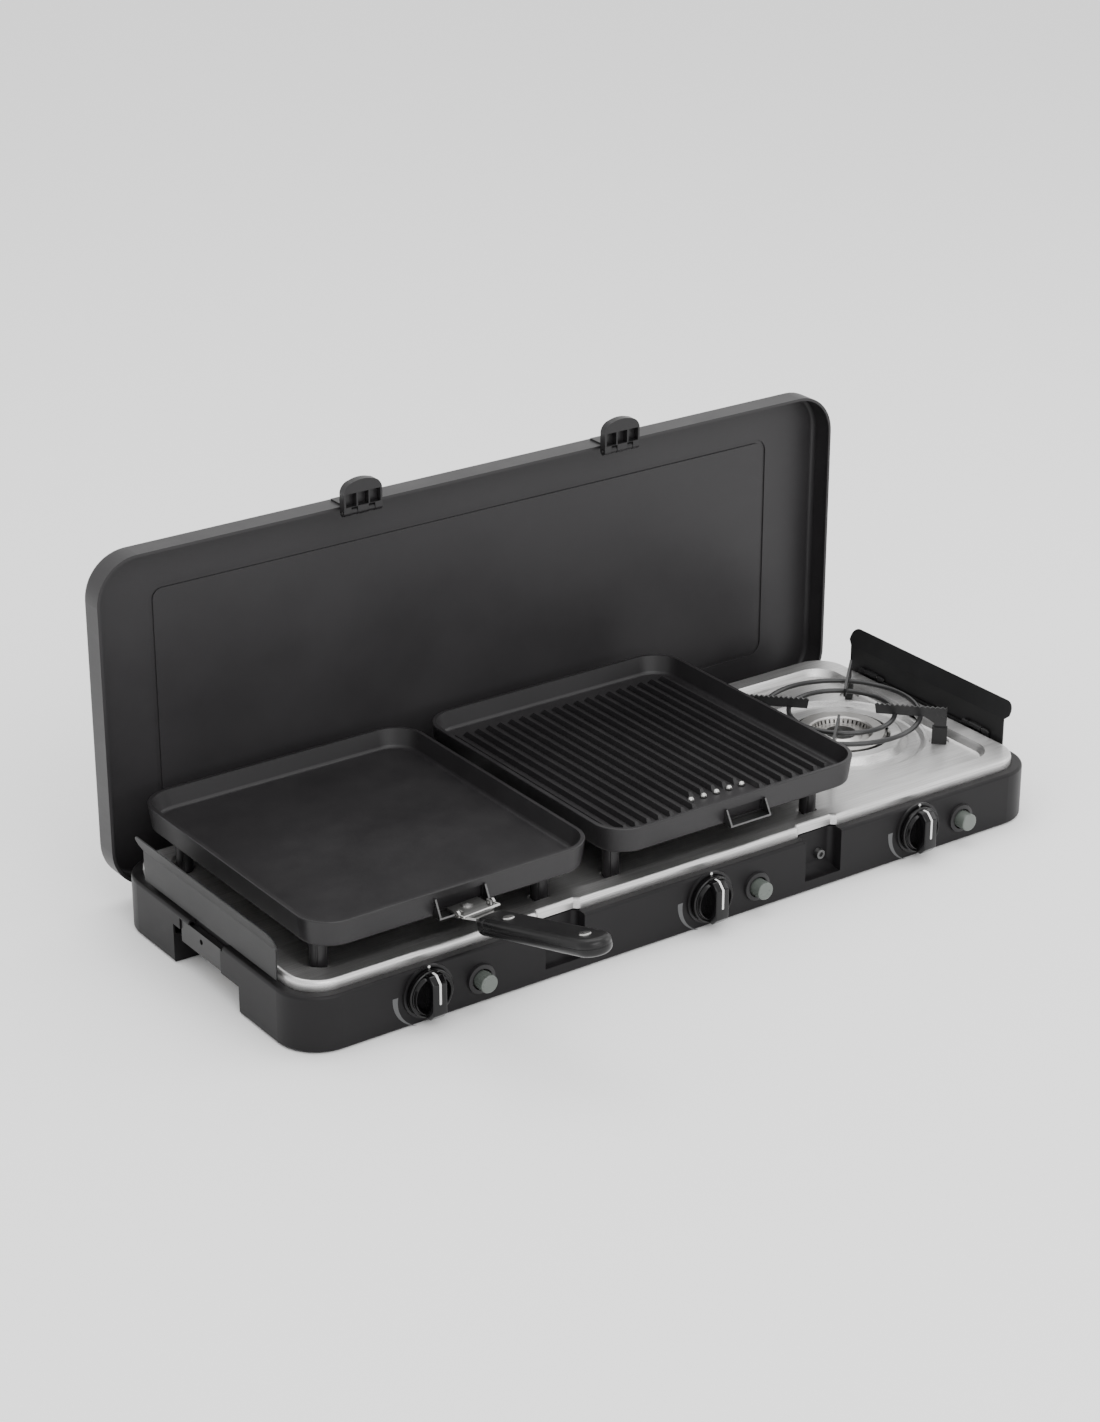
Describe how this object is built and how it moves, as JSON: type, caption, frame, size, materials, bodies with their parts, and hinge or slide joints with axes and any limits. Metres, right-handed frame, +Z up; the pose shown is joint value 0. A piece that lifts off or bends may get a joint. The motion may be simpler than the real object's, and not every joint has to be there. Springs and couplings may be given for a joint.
{
  "type": "camping stove",
  "caption": "Long flat gas stove in a shallow case with an upright hinged lid, cast cooking plates with a detachable handle, a wire pot support and folding side windshields.",
  "frame": {"origin": "centre of the resting plane under the base, on the middle foot", "axes": "+X to the right along the length, +Y to the back where the lid is hinged, +Z up"},
  "size_m": [0.8554, 0.5394, 0.3778],
  "materials": {
    "black_enamel": "glossy enamel on steel",
    "dark_steel": "dark plated",
    "black_coat": "satin powder coat",
    "hob_steel": "brushed stainless",
    "cast_plate": "speckled non-stick coating on cast aluminium",
    "zinc_steel": "zinc plated",
    "side_steel": "dark coated",
    "rubber": "moulded",
    "brass": "machined",
    "aluminium_tube": "drawn tube",
    "cast_burner": "raw casting",
    "burner_steel": "machined",
    "ceramic_white": "glazed insulator",
    "black_plastic": "fine grain",
    "button_grey": "smooth",
    "shaft_steel": "turned",
    "handle_plastic": "fine grain",
    "wire": "plated wire and plate"
  },
  "bodies": {
    "base": {"base_shell": "black_coat", "bottom_plate": "black_coat", "rubber_feet": "rubber", "bottom_screws": "zinc_steel", "hob_top": "hob_steel", "hob_clips": "zinc_steel", "side_clip": "side_steel", "gas_inlet": "brass", "gas_rail": "aluminium_tube", "valve_bodies": "brass", "gas_jets": "brass", "thermocouples": "zinc_steel", "electrodes": "ceramic_white", "piezo_units": "black_plastic", "knob_bezels": "black_plastic", "igniter_bezels": "black_plastic", "burner_body_left": "cast_burner", "burner_body_middle": "cast_burner", "burner_body_right": "cast_burner", "burner_crown_left": "burner_steel", "burner_crown_middle": "burner_steel", "burner_crown_right": "burner_steel", "burner_spreaders": "burner_steel", "lid_hinge_cheeks": "zinc_steel", "lid_hinge_pins": "zinc_steel", "latch_studs": "dark_steel", "windshield_brackets": "hob_steel", "windshield_pins": "zinc_steel"},
    "lid": {"lid_shell": "black_coat", "lid_arms": "zinc_steel", "lid_arm_rivets": "zinc_steel", "latch_brackets": "zinc_steel", "latch_pins": "zinc_steel"},
    "latch_left": {"latch_left": "black_plastic"},
    "latch_right": {"latch_right": "black_plastic"},
    "windshield_left": {"windshield_left": "black_coat"},
    "windshield_right": {"windshield_right": "black_coat"},
    "flat_plate": {"flat_plate": "cast_plate", "flat_plate_bracket": "dark_steel"},
    "ribbed_plate": {"ribbed_plate": "cast_plate", "ribbed_plate_bracket": "dark_steel"},
    "handle": {"handle_grip_top": "handle_plastic", "handle_grip_bottom": "handle_plastic", "handle_tongue": "zinc_steel", "handle_rivets": "zinc_steel"},
    "handle_bail": {"handle_bail": "wire"},
    "pot_support": {"pot_support_frame": "black_enamel", "pot_support_boots": "rubber"},
    "valve_push_left": {"push_collar_left": "shaft_steel"},
    "knob_left": {"knob_left": "black_plastic", "spindle_left": "shaft_steel"},
    "igniter_button_left": {"igniter_button_left": "button_grey"},
    "valve_push_middle": {"push_collar_middle": "shaft_steel"},
    "knob_middle": {"knob_middle": "black_plastic", "spindle_middle": "shaft_steel"},
    "igniter_button_middle": {"igniter_button_middle": "button_grey"},
    "valve_push_right": {"push_collar_right": "shaft_steel"},
    "knob_right": {"knob_right": "black_plastic", "spindle_right": "shaft_steel"},
    "igniter_button_right": {"igniter_button_right": "button_grey"}
  },
  "joints": [
    {"name": "lid_hinge", "type": "hinge", "parent": "base", "child": "lid", "pos_m": [0, 0.1496, 0.0372], "axis": [1, 0, 0], "range_deg": [0, 15]},
    {"name": "latch_turn_left", "type": "hinge", "parent": "lid", "child": "latch_left", "pos_m": [-0.1496, 0.1634, 0.3468], "axis": [1, 0, 0], "range_deg": [0, 100]},
    {"name": "latch_turn_right", "type": "hinge", "parent": "lid", "child": "latch_right", "pos_m": [0.1496, 0.1634, 0.3468], "axis": [1, 0, 0], "range_deg": [0, 100]},
    {"name": "windshield_fold_left", "type": "hinge", "parent": "base", "child": "windshield_left", "pos_m": [-0.4162, 0, 0.0675], "axis": [0, 1, 0], "range_deg": [0, 40]},
    {"name": "windshield_fold_right", "type": "hinge", "parent": "base", "child": "windshield_right", "pos_m": [0.4162, 0, 0.0675], "axis": [0, -1, 0], "range_deg": [0, 60]},
    {"name": "knob_push_left", "type": "slide", "parent": "base", "child": "valve_push_left", "axis": [0, 1, 0], "range_m": [0, 0.0025], "stiffness_N_per_m": 800, "springref_m": -0.002},
    {"name": "knob_turn_left", "type": "hinge", "parent": "valve_push_left", "child": "knob_left", "pos_m": [-0.297, -0.168, 0.031], "axis": [0, -1, 0], "range_deg": [0, 165]},
    {"name": "igniter_push_left", "type": "slide", "parent": "base", "child": "igniter_button_left", "axis": [0, 1, 0], "range_m": [0, 0.004], "stiffness_N_per_m": 500, "springref_m": -0.003},
    {"name": "knob_push_middle", "type": "slide", "parent": "base", "child": "valve_push_middle", "axis": [0, 1, 0], "range_m": [0, 0.0025], "stiffness_N_per_m": 800, "springref_m": -0.002},
    {"name": "knob_turn_middle", "type": "hinge", "parent": "valve_push_middle", "child": "knob_middle", "pos_m": [0.013, -0.168, 0.031], "axis": [0, -1, 0], "range_deg": [0, 165]},
    {"name": "igniter_push_middle", "type": "slide", "parent": "base", "child": "igniter_button_middle", "axis": [0, 1, 0], "range_m": [0, 0.004], "stiffness_N_per_m": 500, "springref_m": -0.003},
    {"name": "knob_push_right", "type": "slide", "parent": "base", "child": "valve_push_right", "axis": [0, 1, 0], "range_m": [0, 0.0025], "stiffness_N_per_m": 800, "springref_m": -0.002},
    {"name": "knob_turn_right", "type": "hinge", "parent": "valve_push_right", "child": "knob_right", "pos_m": [0.266, -0.168, 0.031], "axis": [0, -1, 0], "range_deg": [0, 165]},
    {"name": "igniter_push_right", "type": "slide", "parent": "base", "child": "igniter_button_right", "axis": [0, 1, 0], "range_m": [0, 0.004], "stiffness_N_per_m": 500, "springref_m": -0.003},
    {"name": "flat_plate_lift", "type": "slide", "parent": "base", "child": "flat_plate", "axis": [0, -0.5, 0.866], "range_m": [0, 0.06]},
    {"name": "ribbed_plate_lift", "type": "slide", "parent": "base", "child": "ribbed_plate", "axis": [0, -0.5, 0.866], "range_m": [0, 0.06]},
    {"name": "pot_support_lift", "type": "slide", "parent": "base", "child": "pot_support", "axis": [0, 0, 1], "range_m": [0, 0.06]},
    {"name": "handle_pull", "type": "slide", "parent": "flat_plate", "child": "handle", "axis": [0.0872, -0.9962, 0], "range_m": [0, 0.045]},
    {"name": "bail_swing", "type": "hinge", "parent": "handle", "child": "handle_bail", "pos_m": [-0.24904, -0.16896, 0.0992], "axis": [-0.9962, -0.0872, 0], "range_deg": [0, 75]}
  ]
}
